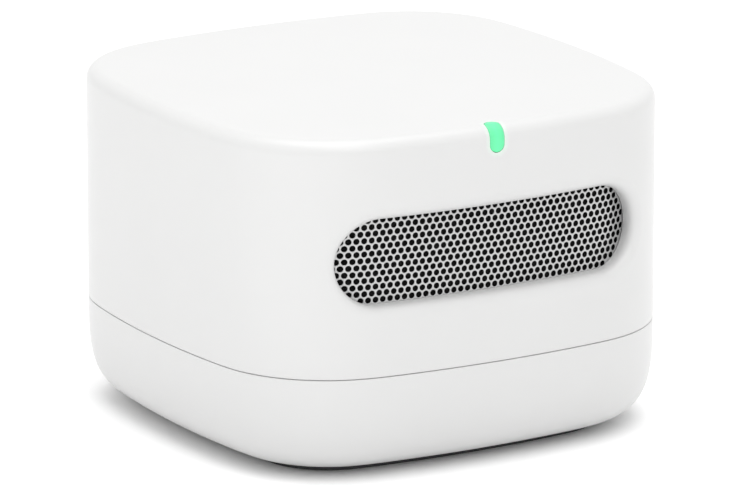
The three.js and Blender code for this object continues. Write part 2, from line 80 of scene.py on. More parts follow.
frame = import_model()
cad_low, cad_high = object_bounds()

MM = 0.001
HOUSING_BODY = frame["joints"][0]["parent"]
BUTTON_BODY = "button"


def box_mm(node):
    """Lowest and highest corner of a CAD node, in millimetres."""
    low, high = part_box(node)
    return np.array(low) / MM, np.array(high) / MM


def middle_mm(node):
    """Middle of a CAD node's box, in millimetres."""
    return np.mean(box_mm(node), axis=0)


# -------- driving sizes

HALF = cad_high.x / MM          # half of its width and depth
HEIGHT = cad_high.z / MM
CAD_GAP = 0.3                   # clearance between CAD pieces that meet
SEAM = box_mm("upper_housing")[0][2] - CAD_GAP / 2

SIDE_RADIUS = 135.5             # plan: bowed sides and round corners
CORNER_RADIUS = 16.4
SOFTENING = 4.0                 # length over which one curvature runs into the other
STATIONS = 288                  # columns of cells round the hub
RIGID_INSET = 12.0              # rings further in than this shrink towards the centre

SEAM_GAP = 0.085                # open line between the two shells
EDGE_ROUND = 0.12               # round of the edges along that line
WALL = 1.6
TOP_FILLET = 1.8
CEILING = HEIGHT - WALL

BASE_BOTTOM = box_mm("base_cover")[0][2]
BASE_CURVE_TOP = 15.7           # where the curve under the hub would meet a straight wall
BASE_CURVE_IN = 12.2            # how far in it would meet a flat bottom
BASE_CURVE_POWER = 4.0
BASE_WALL = 2.0
BASE_FLOOR = 2.6
LIP_INSET = 1.9                 # the base cover's lip inside the upper housing
LIP_WALL = 0.8
LIP_TOP = box_mm("base_cover")[1][2]
FOOT_INSET = HALF - box_mm("rubber_foot")[1][0]
FOOT_TOP = box_mm("rubber_foot")[1][2]
FOOT_GAP = 0.12                 # open line round the foot pad
FOOT_RECESS = 1.05              # height of the ceiling of the foot's recess
BOSS_SINK = 0.1                 # how far screw posts run into the wall they stand on

WINDOW_Z = middle_mm("front_grille")[2]
WINDOW_SHIFT = (0.09, -0.17)    # its middle, from the grille's
WINDOW_HALF = (21.96, 5.67)     # straight-through opening
WINDOW_ROUND = 1.8              # round of its outer rim
WINDOW_DEPTH = 2.56

VENT_Z = middle_mm("exhaust_screen")[2]
VENT_HALF = (0.72, 5.0)
VENT_COUNT = 11
VENT_COLUMNS = 4                # columns of cells from one slot to the next
VENT_ROUND = 0.3

LIGHT_X = -0.25
LIGHT_HALF = 1.05               # half of its width
LIGHT_LOW = 41.55               # height of its end on the wall
LIGHT_BACK = 2.3                # inset of its end on the top
LIGHT_GAP = 0.03
LIGHT_ROUND = 0.08              # round of the rim of its slot
PAINTED_GLOW_REACH = 0.9                # how far the painted glow spreads over the plastic beside it

PORT = middle_mm("usb_socket")
PORT_HALF = (5.7, 3.3)
PORT_CORNER = 1.6
PORT_DEPTH = 4.1
BUTTON = middle_mm("button_cap")
BUTTON_RADIUS = 2.4
BUTTON_CLEARANCE = 0.12
BUTTON_DEPTH = 2.6              # length of the sleeve round it
RIM_ROUND = 0.35                # round of the rims of the port and the button hole

HOLE_PITCH = 1.004              # perforation of the front grille, in rows 60 degrees apart
HOLE_RADIUS = 0.4
HOLE_EDGE = 0.03                # bevel of its front edge
HOLE_SHIFT = (0.03, -0.11)      # a hole of the middle row, from the grille's middle
HOLES_HALF = (21.9, 5.65)       # pill that holds the middles of the holes
GRILLE_HALF = (24.5, 8.0)       # pill that the sheet's cells fill
GRILLE_INSET = 2.6
GRILLE_THICK = 0.08

PAD_EDGE = 0.15                 # bevel of the filter, the screen and the gasket
PAD_STEPS = (44, 14)
FILTER_INSET = 3.0
FILTER_THICK = 1.2
FILTER_HALF = (23.4, 7.5)
SCREEN_INSET = 1.9
SCREEN_THICK = 0.6
SCREEN_HALF = (18.4, 6.4)
SCREEN_CORNER = 1.0
THREAD_PITCH = 0.4              # of the screen's mesh
FOAM_CELL = 0.6
GASKET_HALF = (19.7, 5.9)
GASKET_BORE = (18.0, 4.3)

RIBBON_ROUTE = [(22.3, 36.8), (24.7, 36.8), (24.7, 7.8), (22.3, 7.8)]       # in (y, z)
CABLE_ROUTE = [(13.3, 28.0), (15.6, 28.0), (15.6, 7.8), (16.7, 7.8)]
CABLE_BEND = 0.6


# -------- mesh helpers

class Mesh:
    """Vertices in millimetres and faces, gathered and then made into one object."""

    def __init__(self):
        self.points = []
        self.faces = []

    def add(self, points):
        """Adds points and returns their indices."""
        start = len(self.points)
        self.points.extend(np.asarray(points, float).reshape(-1, 3).tolist())
        return np.arange(start, len(self.points))

    def bridge(self, first, second, flip=False):
        """Quads between two closed rows of indices of equal length."""
        for k in range(len(first)):
            n = (k + 1) % len(first)
            quad = (first[k], first[n], second[n], second[k])
            self.faces.append(quad[::-1] if flip else quad)

    def cap(self, ring, centre=None, flip=False):
        """Triangles from a ring to a point, or to its own middle."""
        if centre is None:
            centre = np.mean([self.points[i] for i in ring], axis=0)
        tip = self.add([centre])[0]
        for k in range(len(ring)):
            triangle = (ring[k], ring[(k + 1) % len(ring)], tip)
            self.faces.append(triangle[::-1] if flip else triangle)

    def join(self, rings, closed=False):
        """Rings of points, each joined to the next. Returns their rows of indices."""
        rows = [self.add(ring) for ring in rings]
        for low, high in zip(rows, rows[1:] + (rows[:1] if closed else [])):
            self.bridge(low, high)
        return rows

    def loft(self, rings):
        """A closed body through rings of points, capped at both ends."""
        rows = self.join(rings)
        self.cap(rows[0], flip=True)
        self.cap(rows[-1])
        return self

    def make(self, name, material, body=HOUSING_BODY, sharp=35):
        """The finished object, smooth but for edges sharper than an angle, riding on a body."""
        data = bpy.data.meshes.new(name)
        corners = (np.array(self.points) * MM).tolist()
        data.from_pydata(corners, [], [tuple(int(i) for i in face) for face in self.faces])
        data.polygons.foreach_set("use_smooth", [True] * len(data.polygons))
        data.set_sharp_from_angle(angle=math.radians(sharp))
        data.materials.append(material)
        piece = bpy.data.objects.new(name, data)
        bpy.context.scene.collection.objects.link(piece)
        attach(piece, body)
        return piece


def stand_for(piece, slot, *nodes):
    """Hides the CAD nodes that a piece stands for."""
    if nodes:
        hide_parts(*nodes)


def unit(ways):
    """A direction, or each row of directions, at length 1."""
    return ways / np.linalg.norm(ways, axis=-1, keepdims=True)


def rounded_outline(half_u, half_v, radius, steps_u, steps_v, arc_weight=1.0):
    """Points round a rounded rectangle, anticlockwise from the middle of its lower left corner.

    Each lower or upper stretch has steps_u points and each side stretch steps_v. A larger
    arc_weight draws more of a stretch's points into its corners.
    """
    points = []
    arc = radius * math.pi / 4 * arc_weight
    for turn in range(4):
        along, away, steps = ((half_u, half_v, steps_u), (half_v, half_u, steps_v))[turn % 2]
        straight = 2 * (along - radius)
        cosine, sine = ((1, 0), (0, 1), (-1, 0), (0, -1))[turn]
        for place in np.arange(steps) / steps * (2 * arc + straight):
            if place < arc:
                angle = (place / arc - 1) * math.pi / 4
                x = radius - along + radius * math.sin(angle)
            elif place <= arc + straight:
                angle = 0.0
                x = radius - along + place - arc
            else:
                angle = (place - arc - straight) / arc * math.pi / 4
                x = along - radius + radius * math.sin(angle)
            y = radius - away - radius * math.cos(angle)
            points.append((x * cosine - y * sine, x * sine + y * cosine))
    return np.array(points)


def turned(mesh, profile, to_space, steps=48):
    """Adds a turned body. Its profile runs from axis to axis in (radius, height) points."""
    angles = np.arange(steps) / steps * 2 * math.pi
    rows = mesh.join([
        to_space(radius * np.cos(angles), radius * np.sin(angles), height)
        for radius, height in profile[1:-1]
    ])
    origin = np.zeros(1)
    mesh.cap(rows[0], to_space(origin, origin, profile[0][1])[0], flip=True)
    mesh.cap(rows[-1], to_space(origin, origin, profile[-1][1])[0])
    return mesh


def upright(x, y):
    """Placing of a turned body that stands at x, y."""
    return lambda a, b, h: np.c_[x + a, y + b, np.full(len(a), h)]


def facing_back(x, z):
    """Placing of a turned body whose axis runs towards +Y."""
    return lambda a, b, h: np.c_[x + b, np.full(len(a), h), z + a]


# -------- plan of the hub

def plan_curve():
    """The widest outline as dense points, from the middle of the front, anticlockwise."""
    side = SIDE_RADIUS - HALF
    corner = (math.sqrt(2 * (SIDE_RADIUS - CORNER_RADIUS) ** 2 - side ** 2) - side) / 2
    half_angle = math.atan2(corner, corner + side)
    step = 0.02
    arcs = (
        ((0, side), SIDE_RADIUS, 0, half_angle),
        ((corner, -corner), CORNER_RADIUS, half_angle, math.pi / 2 - half_angle),
        ((-side, 0), SIDE_RADIUS, math.pi / 2 - half_angle, math.pi / 2),
    )
    quarter = []
    for centre, radius, start, stop in arcs:
        count = round(radius * (stop - start) / step)
        angle = start + (stop - start) * (np.arange(count) + 0.5) / count
        quarter.append(np.c_[centre[0] + radius * np.sin(angle), centre[1] - radius * np.cos(angle)])
    x, y = np.concatenate(quarter).T
    curve = np.concatenate([np.c_[x, y], np.c_[-y, x], np.c_[-x, -y], np.c_[y, -x]])
    window = round(SOFTENING / step)
    kernel = np.ones(window) / window
    for _ in range(2):
        wrapped = np.concatenate([curve[-window:], curve, curve[:window]])
        smooth = np.c_[[np.convolve(wrapped[:, k], kernel, "same") for k in (0, 1)]].T
        curve = smooth[window:-window]
    return curve * (HALF / np.abs(curve).max())


PLAN = plan_curve()
plan_steps = np.linalg.norm(np.roll(PLAN, -1, 0) - PLAN, axis=1)
plan_run = np.roll(PLAN, -1, 0) - np.roll(PLAN, 1, 0)
PLAN_OUT = unit(np.c_[plan_run[:, 1], -plan_run[:, 0]])
PLAN_MARKS = np.cumsum(plan_steps) - plan_steps[0]
PLAN_LENGTH = plan_steps.sum()
COLUMN = PLAN_LENGTH / STATIONS
ALL_ROUND = np.arange(STATIONS) * COLUMN


def on_plan(u):
    """Points and outward directions of the outline at lengths u from the middle of the front."""
    u = np.mod(np.asarray(u, float), PLAN_LENGTH)
    point = np.c_[[np.interp(u, PLAN_MARKS, PLAN[:, k], period=PLAN_LENGTH) for k in (0, 1)]].T
    out = np.c_[[np.interp(u, PLAN_MARKS, PLAN_OUT[:, k], period=PLAN_LENGTH) for k in (0, 1)]].T
    return point, unit(out)


def ring_at(u, inset, z):
    """Points of the plan at lengths u, moved in by an inset, at a height."""
    point, out = on_plan(u)
    inset = np.broadcast_to(inset, len(point))
    rigid = np.minimum(inset, RIGID_INSET)
    shrink = np.clip((HALF - inset) / (HALF - RIGID_INSET), 0, 1)
    flat = (point - out * rigid[:, None]) * shrink[:, None]
    return np.c_[flat, np.broadcast_to(z, len(point))]


def arc_profile(inset, z, radius, start, stop, steps):
    """Profile points on an arc; 0 degrees points outward and 90 up."""
    angles = np.radians(np.linspace(start, stop, steps + 1))
    return [(inset - radius * math.cos(a), z + radius * math.sin(a)) for a in angles]


FRONT_SPAN = np.linspace(-30, 30, 1201)     # lengths to the left and right of the middle
FRONT_X = on_plan(FRONT_SPAN)[0][:, 0]
FRONT_FACING = -on_plan(FRONT_SPAN)[1][:, 1]


def length_to_side(v):
    """Length round the plan from the middle of a side to v millimetres to its right."""
    return np.interp(v, FRONT_X, FRONT_SPAN)


def on_wall(outline, z, inset, back=False):
    """Points of an outline in (right, up), laid on the front or back wall moved in by an inset."""
    surface = ring_at(FRONT_SPAN, inset, 0)
    y = np.interp(outline[:, 0], surface[:, 0], surface[:, 1])
    sign = -1 if back else 1
    return np.c_[sign * outline[:, 0], sign * y, z + outline[:, 1]]


# -------- shells with openings

class Shell:
    """A moulded wall of the plan: an outer skin, an inner skin, and openings through both.

    The outer skin follows a fine profile of (inset, height) points. Its rows are points of
    that profile, and inner has the inner skin's point for each row.
    """

    def __init__(self, profile, rows, inner, open_end):
        self.profile = np.array(profile, float)
        steps = np.linalg.norm(np.diff(self.profile, axis=0), axis=1)
        self.marks = np.concatenate([[0], np.cumsum(steps)])
        self.rows = np.array([self.length_to(row) for row in rows])
        self.heights = np.array([row[1] for row in rows])
        self.inner = inner
        self.open_end = open_end
        self.holes = []

    def length_to(self, place):
        """Length along the profile to its point nearest to (inset, height)."""
        return self.marks[np.argmin(np.linalg.norm(self.profile - place, axis=1))]

    def length_at(self, z):
        """Length along the profile to a height on its way up the wall."""
        crest = np.argmax(self.profile[:, 1])
        return np.interp(z, self.profile[:crest, 1], self.marks[:crest])

    def rows_about(self, z, reach):
        """The rows nearest to a reach below and a reach above a height."""
        return tuple(int(np.argmin(np.abs(self.heights - edge))) for edge in (z - reach, z + reach))

    def skin(self, u, t, behind=0.0):
        """Points at lengths u round the plan and t along the profile, moved in by behind."""
        reach = 0.02
        inset, z = (np.interp(t, self.marks, self.profile[:, k]) for k in (0, 1))
        before, after = (
            [np.interp(t + side, self.marks, self.profile[:, k]) for k in (0, 1)]
            for side in (-reach, reach)
        )
        run, rise = after[0] - before[0], after[1] - before[1]
        length = np.hypot(run, rise)
        return ring_at(u, inset + behind * rise / length, z - behind * run / length)

    def on_side(self, outline, z, side=0):
        """(u, t) of an outline in (right, up) about a height; side 0 is the front and 2 the back."""
        u = side * PLAN_LENGTH / 4 + length_to_side(outline[:, 0])
        return np.c_[u, self.length_at(z + outline[:, 1])]

    def pierce(self, columns, rows, outline, rim, depth, direction, spread, rim_steps):
        """Adds an opening in the block of cells from the first to the last column and row.

        outline(offset) gives its (u, t) points grown by an offset, direction(points) is the way
        in, rim is the radius of its outer edge, and spread the rings between block and rim.
        """
        self.holes.append((columns, rows, outline, rim, depth, direction, spread, rim_steps))

    def build(self):
        """The mesh of both skins, the open end's edge between them, and the openings."""
        mesh = Mesh()
        taken = set()
        for (left, right), (bottom, top), *_ in self.holes:
            taken |= {(r, c % STATIONS) for r in range(bottom, top) for c in range(left, right)}
        outer = [mesh.add(self.skin(ALL_ROUND, np.full(STATIONS, t))) for t in self.rows]
        inner = [mesh.add(ring_at(ALL_ROUND, inset, z)) for inset, z in self.inner]
        far_end = -1 if self.open_end == 0 else 0
        for grid, flip in ((outer, False), (inner, True)):
            for r in range(len(grid) - 1):
                for c in range(STATIONS):
                    if (r, c) not in taken:
                        n = (c + 1) % STATIONS
                        quad = (grid[r][c], grid[r][n], grid[r + 1][n], grid[r + 1][c])
                        mesh.faces.append(quad[::-1] if flip else quad)
            mesh.cap(grid[far_end], flip=flip ^ (far_end == 0))
        mesh.bridge(outer[self.open_end], inner[self.open_end], flip=self.open_end == 0)
        for hole in self.holes:
            self.build_hole(mesh, outer, inner, *hole)
        return mesh

    def build_hole(self, mesh, outer, inner, columns, rows, outline, rim, depth, direction,
                   spread, rim_steps):
        """Rings from a block's border to the rim, round the rim, and in to the inner skin."""
        (left, right), (bottom, top) = columns, rows
        path = [(bottom, c) for c in range(left, right)] + [(r, right) for r in range(bottom, top)]
        path += [(top, c) for c in range(right, left, -1)] + [(r, left) for r in range(top, bottom, -1)]
        block = np.array([(c * COLUMN, self.rows[r]) for r, c in path])
        crest = outline(rim)
        last = [outer[r][c % STATIONS] for r, c in path]
        for share in np.arange(1, spread + 1) / spread:
            u, t = (block * (1 - share) + crest * share).T
            ring = mesh.add(self.skin(u, t))
            mesh.bridge(last, ring)
            last = ring
        for angle in np.arange(1, rim_steps + 1) / rim_steps * math.pi / 2:
            points = self.skin(*outline(rim * (1 - math.sin(angle))).T)
            ring = mesh.add(points + direction(points) * rim * (1 - math.cos(angle)))
            mesh.bridge(last, ring)
            last = ring
        points = self.skin(*outline(0.0).T)
        end = mesh.add(points + direction(points) * depth)
        mesh.bridge(last, end)
        mesh.bridge(end, [inner[r][c % STATIONS] for r, c in path])


def cells(columns, rows):
    """How many cells a block has along its columns and rows."""
    return columns[1] - columns[0], rows[1] - rows[0]


def forwards(points):
    """The way in through the back wall."""
    return np.tile((0, -1, 0), (len(points), 1))


def add_boss(mesh, node, radius, bore, end, root, depth):
    """Adds a screw post at a CAD screw's place, from its end to its root, with a blind bore."""
    x, y, _ = middle_mm(node)
    way = 1 if root > end else -1
    bottom = end + way * depth
    bevel = 0.1
    profile = [(0, bottom), (bore, bottom), (bore, end), (radius - bevel, end)]
    profile += [(radius, end + way * bevel), (radius, root), (0, root)]
    turned(mesh, profile if way > 0 else profile[::-1], upright(x, y), steps=24)


# -------- materials

GLOW = (0.08, 1.0, 0.4, 1)
ROUGH_RANGE = 0.06              # a surface's roughness wavers this much either way
WHITE_LOOK = {"color": (0.6, 0.6, 0.597), "roughness": 0.33, "grain": 0.3, "grain_depth": 0.003,
              "tone": 0.006}


def set_inputs(made, node, inputs):
    """Sets each input of a material's node to a value, or links it to another node's output."""
    for name, value in inputs.items():
        if isinstance(value, bpy.types.NodeSocket):
            made.node_tree.links.new(value, node.inputs[name])
        else:
            node.inputs[name].default_value = value


def add_node(made, kind, inputs):
    """Adds a node to a material, with some of its inputs."""
    node = made.node_tree.nodes.new(kind)
    set_inputs(made, node, inputs)
    return node


def set_shader(made, inputs):
    """Sets or links inputs of a material's surface."""
    set_inputs(made, made.node_tree.nodes["Principled BSDF"], inputs)


def node_of(made, kind):
    """A material's first node of a kind."""
    return next(n for n in made.node_tree.nodes if n.bl_idname == kind)


def place_in(made):
    """A material's output with the place on the object."""
    return node_of(made, "ShaderNodeTexCoord").outputs["Object"]


def material(name, color, roughness, metallic=0.0, grain=0.25, grain_depth=0.004, tone=0.03,
             cloud=14.0):
    """A moulded, coated or plated surface. grain is the size of its fine texture in millimetres
    and grain_depth its height; tone and cloud are the strength and size of its colour drift."""
    made = bpy.data.materials.new(name)
    made.use_nodes = True
    place = add_node(made, "ShaderNodeTexCoord", {}).outputs["Object"]
    drift = add_node(made, "ShaderNodeTexNoise", {
        "Vector": place, "Scale": 1 / (cloud * MM), "Detail": 4})
    shades = add_node(made, "ShaderNodeValToRGB", {"Fac": drift.outputs["Fac"]})
    low, high = shades.color_ramp.elements
    low.position, high.position = 0.3, 0.7
    low.color = (*[c * (1 - tone) for c in color], 1)
    high.color = (*[min(1.0, c * (1 + tone)) for c in color], 1)
    fine = add_node(made, "ShaderNodeTexNoise", {
        "Vector": place, "Scale": 1 / (grain * MM), "Detail": 3, "Roughness": 0.6}).outputs["Fac"]
    spread = add_node(made, "ShaderNodeMapRange", {
        "Value": fine, "To Min": roughness - ROUGH_RANGE, "To Max": roughness + ROUGH_RANGE})
    bump = add_node(made, "ShaderNodeBump", {"Height": fine, "Distance": grain_depth * MM})
    set_shader(made, {
        "Base Color": shades.outputs["Color"], "Metallic": metallic,
        "Roughness": spread.outputs["Result"], "Normal": bump.outputs["Normal"]})
    return made


def set_height(made, output, distance):
    """Drives a material's bump from another texture, whose height is in millimetres."""
    set_inputs(made, node_of(made, "ShaderNodeBump"), {"Height": output, "Distance": distance * MM})


def board_material():
    """Green solder mask over a net of tracks."""
    made = material("circuit_board", (0.02, 0.13, 0.055), 0.35, grain=0.4, tone=0.08)
    black, white = (0, 0, 0, 1), (1, 1, 1, 1)
    tracks = add_node(made, "ShaderNodeTexBrick", {
        "Vector": place_in(made), "Scale": 1 / MM, "Brick Width": 6.3, "Row Height": 0.9,
        "Mortar Size": 0.1, "Color1": black, "Color2": black, "Mortar": white})
    tracks.offset = 0.37
    mix = add_node(made, "ShaderNodeMix", {})
    mix.data_type = "RGBA"
    factor, mask, track = (s for s in mix.inputs if s.enabled)
    track.default_value = (0.05, 0.24, 0.1, 1)
    made.node_tree.links.new(tracks.outputs["Color"], factor)
    made.node_tree.links.new(node_of(made, "ShaderNodeValToRGB").outputs["Color"], mask)
    set_shader(made, {"Base Color": next(s for s in mix.outputs if s.enabled)})
    set_height(made, tracks.outputs["Color"], 0.03)
    return made


def foam_material():
    """Open-cell foam: a web of dark ribs round darker cells."""
    made = material("open_cell_foam", (0.012, 0.012, 0.012), 0.9, grain=0.1, tone=0.3, cloud=2.0)
    cells = add_node(made, "ShaderNodeTexVoronoi", {
        "Vector": place_in(made), "Scale": 1 / (FOAM_CELL * MM)})
    cells.feature = "DISTANCE_TO_EDGE"
    ribs = add_node(made, "ShaderNodeMapRange", {
        "Value": cells.outputs["Distance"], "From Max": 0.25, "To Min": 1.0, "To Max": 0.0})
    set_height(made, ribs.outputs["Result"], 0.25)
    set_shader(made, {"Specular IOR Level": 0.05})
    return made


def woven_material():
    """A fine dark dust mesh: threads that cross, with gaps between them painted near black as painted
    shade of the inside seen through them.
    """
    bands_at_one = 3.14             # of a wave texture in a unit of length at scale 1, nearly
    made = material("dust_mesh", (0.05, 0.05, 0.052), 0.6, grain=0.1, tone=0.2, cloud=3.0)
    heights = {}
    for number, direction in enumerate("XZ"):
        threads = add_node(made, "ShaderNodeTexWave", {
            "Vector": place_in(made), "Scale": 1 / (THREAD_PITCH * MM) / bands_at_one})
        threads.bands_direction = direction
        heights[number] = threads.outputs["Fac"]
    taller = add_node(made, "ShaderNodeMath", heights)
    taller.operation = "MAXIMUM"
    set_height(made, taller.outputs["Value"], 0.15)
    shades = node_of(made, "ShaderNodeValToRGB")
    # painted shade: the gaps between threads are near black, standing in for the shaded inside seen
    # through them
    gap, thread = shades.color_ramp.elements
    gap.position, thread.position = 0.55, 0.9
    gap.color = (0.004, 0.004, 0.004, 1)
    thread.color = (0.09, 0.09, 0.095, 1)
    set_inputs(made, shades, {"Fac": taller.outputs["Value"]})
    return made


def painted_glow_shell_material():
    """The white plastic, with a faint painted glow close round the light that stands in for its spill.
    The glow fades with the distance from a flat core, which stands in the middle of the light."""
    made = material("housing_plastic_painted_glow", **WHITE_LOOK)
    low, back = LIGHT_LOW + LIGHT_HALF, LIGHT_BACK - LIGHT_HALF
    middle = (LIGHT_X, -HALF + back / 2, (low + HEIGHT) / 2)
    half = (0, back / 2, (HEIGHT - low) / 2)
    source = place_in(made)
    to_core = (("SUBTRACT", middle), ("ABSOLUTE", None), ("SUBTRACT", half), ("MAXIMUM", (0, 0, 0)))
    for operation, other in to_core:
        step = add_node(made, "ShaderNodeVectorMath", {0: source})
        step.operation = operation
        if other:
            step.inputs[1].default_value = [value * MM for value in other]
        source = step.outputs["Vector"]
    distance = add_node(made, "ShaderNodeVectorMath", {0: source})
    distance.operation = "LENGTH"
    fade = add_node(made, "ShaderNodeMapRange", {
        "Value": distance.outputs["Value"], "From Min": LIGHT_HALF * MM,
        "From Max": (LIGHT_HALF + PAINTED_GLOW_REACH) * MM, "To Min": 0.08, "To Max": 0.0})
    fade.interpolation_type = "SMOOTHERSTEP"
    # painted glow: emission on the housing plastic round the status light, standing in for its spilled
    # light
    set_shader(made, {"Emission Strength": fade.outputs["Result"], "Emission Color": GLOW})
    return made


def light_material():
    """A frosted light pipe lit from behind, a little brighter along its middle."""
    made = material("light_pipe", (0.09, 0.36, 0.19), 0.4, grain=0.3, grain_depth=0.003, tone=0.05)
    split = add_node(made, "ShaderNodeSeparateXYZ", {"Vector": place_in(made)})
    centred = add_node(made, "ShaderNodeMath", {0: split.outputs["X"], 1: -LIGHT_X * MM})
    away = add_node(made, "ShaderNodeMath", {0: centred.outputs["Value"]})
    away.operation = "ABSOLUTE"
    fade = add_node(made, "ShaderNodeMapRange", {
        "Value": away.outputs["Value"], "From Max": LIGHT_HALF * MM, "To Min": 0.55, "To Max": 0.4})
    set_shader(made, {"Emission Strength": fade.outputs["Result"], "Emission Color": GLOW})
    return made


WHITE = material("white_plastic", **WHITE_LOOK)
# white plastic with a painted glow round the status light
WHITE_WITH_PAINTED_GLOW = painted_glow_shell_material()
COATED = material("coated_sheet", (0.5, 0.5, 0.5), 0.32, metallic=0.6, grain=0.12, grain_depth=0.002,
                  tone=0.01)
RUBBER = material("rubber", (0.045, 0.045, 0.047), 0.78, grain=0.2, grain_depth=0.02, tone=0.12)
FOAM = foam_material()
DUST_MESH = woven_material()
BLACK = material("black_plastic", (0.022, 0.022, 0.024), 0.55, grain=0.2, grain_depth=0.012, tone=0.1)
STEEL = material("plated_steel", (0.62, 0.62, 0.63), 0.3, metallic=1.0, grain=0.5, grain_depth=0.002,
                 tone=0.05)
BRASS = material("brass", (0.78, 0.57, 0.25), 0.28, metallic=1.0, grain=0.4, grain_depth=0.002,
                 tone=0.08)
CHIP = material("chip_package", (0.018, 0.018, 0.02), 0.5, grain=0.12, grain_depth=0.01, tone=0.15)
CREAM = material("cream_nylon", (0.72, 0.66, 0.5), 0.45, grain=0.2, grain_depth=0.006, tone=0.04)
CABLE = material("cable_jacket", (0.62, 0.62, 0.61), 0.5, grain=0.3, grain_depth=0.01, tone=0.04)
BOARD = board_material()
LIT = light_material()


# -------- upper housing

def housing_shell():
    """The upper housing's wall and top, open at the seam."""
    low = SEAM + SEAM_GAP / 2
    fillet = HEIGHT - TOP_FILLET
    edge_z = low + EDGE_ROUND
    edge_steps, fillet_steps, inner_step, under_fillet = 3, 8, 0.05, 0.3
    flat_top = (2.4, 3.1, 4.0, 5.0, 6.5, 8, 10, 12, 16, 20, 24, 28, 31)     # insets of its rings

    profile = arc_profile(EDGE_ROUND, edge_z, EDGE_ROUND, -90, 0, 12)
    profile += [(0, z) for z in np.linspace(edge_z, fillet, 400)[1:]]
    profile += arc_profile(TOP_FILLET, fillet, TOP_FILLET, 0, 90, 60)[1:]
    profile += [(inset, HEIGHT) for inset in np.linspace(TOP_FILLET, HALF - 1, 400)[1:]]

    # Rows 1 mm apart, one of them at the height of the window's grille.
    first = math.ceil(edge_z - WINDOW_Z % 1) + WINDOW_Z % 1
    wall_heights = list(np.arange(first, fillet - under_fillet, 1.0))
    rows = arc_profile(EDGE_ROUND, edge_z, EDGE_ROUND, -90, 0, edge_steps)
    rows += [(0, z) for z in wall_heights]
    rows += arc_profile(TOP_FILLET, fillet, TOP_FILLET, 0, 90, fillet_steps)
    rows += [(inset, HEIGHT) for inset in flat_top]
    inner = [(WALL, low + k * inner_step) for k in range(edge_steps + 1)]
    inner += [(WALL, z) for z in wall_heights]
    inner += arc_profile(TOP_FILLET, fillet, TOP_FILLET - WALL, 0, 90, fillet_steps)
    inner += [(inset, CEILING) for inset in flat_top]
    return Shell(profile, rows, inner, open_end=0)


def into_window(points):
    """The way in, lengthened where the wall turns away, so that the rim ends at the sheet."""
    facing = np.interp(points[:, 0], FRONT_X, FRONT_FACING)
    still = np.zeros(len(points))
    return np.c_[still, 1 / facing, still]


def pierce_window(shell):
    columns = (-33, 33)
    rows = shell.rows_about(WINDOW_Z, 9)
    steps = cells(columns, rows)

    def outline(offset):
        half_u, half_v = (half + offset for half in WINDOW_HALF)
        return shell.on_side(rounded_outline(half_u, half_v, half_v, *steps) + WINDOW_SHIFT, WINDOW_Z)

    shell.pierce(columns, rows, outline, WINDOW_ROUND, WINDOW_DEPTH, into_window, spread=4, rim_steps=8)


def pierce_vent(shell, number):
    middle = STATIONS // 2 + VENT_COLUMNS * (number - VENT_COUNT // 2)
    columns = (middle - VENT_COLUMNS // 2, middle + VENT_COLUMNS // 2)
    rows = shell.rows_about(VENT_Z, 7)
    steps = cells(columns, rows)

    def outline(offset):
        half_u, half_v = (half + offset for half in VENT_HALF)
        slot = rounded_outline(half_u, half_v, half_u, *steps, arc_weight=4.0)
        return slot + (middle * COLUMN, shell.length_at(VENT_Z))

    shell.pierce(columns, rows, outline, VENT_ROUND, WALL, forwards, spread=1, rim_steps=3)


LIGHT_COLUMNS = (-3, 3)
LIGHT_ROWS = (-11, 3)           # rows before and after the one where the fillet meets the top


def light_outline(shell, offset):
    """(u, t) of the light's strip, which runs up the wall and over the top edge."""
    low = shell.length_at(LIGHT_LOW)
    high = shell.length_to((LIGHT_BACK, HEIGHT))
    half_u, half_t = LIGHT_HALF + offset, (high - low) / 2 + offset
    steps = cells(LIGHT_COLUMNS, LIGHT_ROWS)
    strip = rounded_outline(half_u, half_t, half_u, *steps, arc_weight=2.0)
    return strip + (LIGHT_X, (low + high) / 2)


def pierce_light(shell):
    """The light's slot, whose walls run towards a line inside the top edge."""
    crest = int(np.argmax(shell.heights))
    rows = (crest + LIGHT_ROWS[0], crest + LIGHT_ROWS[1])
    core_depth = 6
    core = np.array([LIGHT_X, -HALF + core_depth, HEIGHT - core_depth])

    def inward(points):
        return unit((core - points) * (0, 1, 1))

    def outline(offset):
        return light_outline(shell, LIGHT_GAP + offset)

    shell.pierce(LIGHT_COLUMNS, rows, outline, LIGHT_ROUND, WALL, inward, spread=2, rim_steps=3)


def upper_housing():
    """The white shell, with its screw posts. Returns its wall, which the light follows."""
    shell = housing_shell()
    pierce_window(shell)
    pierce_light(shell)
    for number in range(VENT_COUNT):
        pierce_vent(shell, number)
    mesh = shell.build()
    root = CEILING + BOSS_SINK
    for number in range(1, 5):
        add_boss(mesh, f"chassis_screw_{number}", radius=2.3, bore=1.3, end=19.9, root=root, depth=6)
    for number in range(1, 3):
        node = f"sensor_board_screw_{number}"
        add_boss(mesh, node, radius=2.0, bore=1.2, end=39.5, root=root, depth=3.3)
    # the upper housing wears the white plastic with the painted glow round the status light
    stand_for(mesh.make("housing_upper", WHITE_WITH_PAINTED_GLOW), "housing_white", "upper_housing")
    return shell


def status_light(shell):
    """The light pipe: a strip flush with the wall and the top, with softened edges."""
    thick, edge = 1.4, 0.12
    soft = edge * 0.3
    mesh = Mesh()
    rim = light_outline(shell, 0)
    face = light_outline(shell, -edge)
    middle = np.array([(LIGHT_X, t) for t in face[:, 1]])
    rings = [
        shell.skin(*rim.T, behind=thick),
        shell.skin(*rim.T, behind=edge),
        shell.skin(*light_outline(shell, -soft).T, behind=soft),
    ]
    for share in (0, 0.25, 0.5, 0.75, 1):
        rings.append(shell.skin(*(face * (1 - share) + middle * share).T))
    mesh.cap(mesh.join(rings)[0], flip=True)
    stand_for(mesh.make("status_light", LIT), "light_pipe", "status_light_pipe")


# -------- base cover and foot

